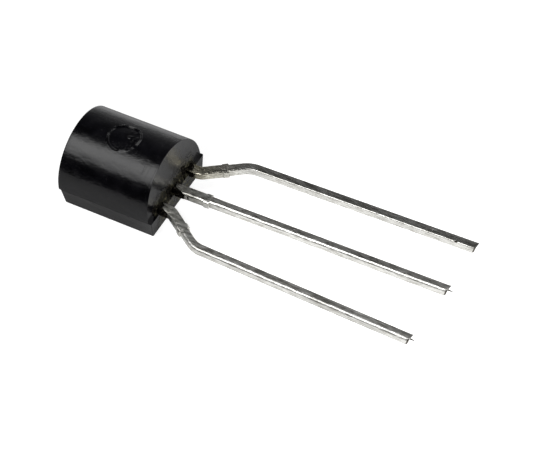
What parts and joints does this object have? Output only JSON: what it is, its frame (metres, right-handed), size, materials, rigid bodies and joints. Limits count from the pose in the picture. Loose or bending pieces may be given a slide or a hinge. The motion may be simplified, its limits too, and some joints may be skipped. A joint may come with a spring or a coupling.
{
  "type": "to-92 transistor",
  "caption": "Small-signal transistor in a black D-shaped moulded package with formed tinned leads for board mounting.",
  "frame": {"origin": "centre of the package's flat face", "axes": "+X along the leads to their tips, +Y towards the emitter lead, +Z from the flat face to the round crown"},
  "size_m": [0.0182, 0.0061, 0.0033],
  "materials": {
    "epoxy": "polished black moulding compound",
    "tinned_lead": "matte tin plate with drawn marks",
    "solder": "dull solder",
    "silicon": "polished silicon",
    "gold_wire": "drawn gold"
  },
  "bodies": {
    "root": {"body": "epoxy", "lead_emitter": "tinned_lead", "lead_collector": "tinned_lead", "lead_base": "tinned_lead", "die_attach": "solder", "die": "silicon", "wire_emitter": "gold_wire", "wire_base": "gold_wire"}
  },
  "joints": []
}
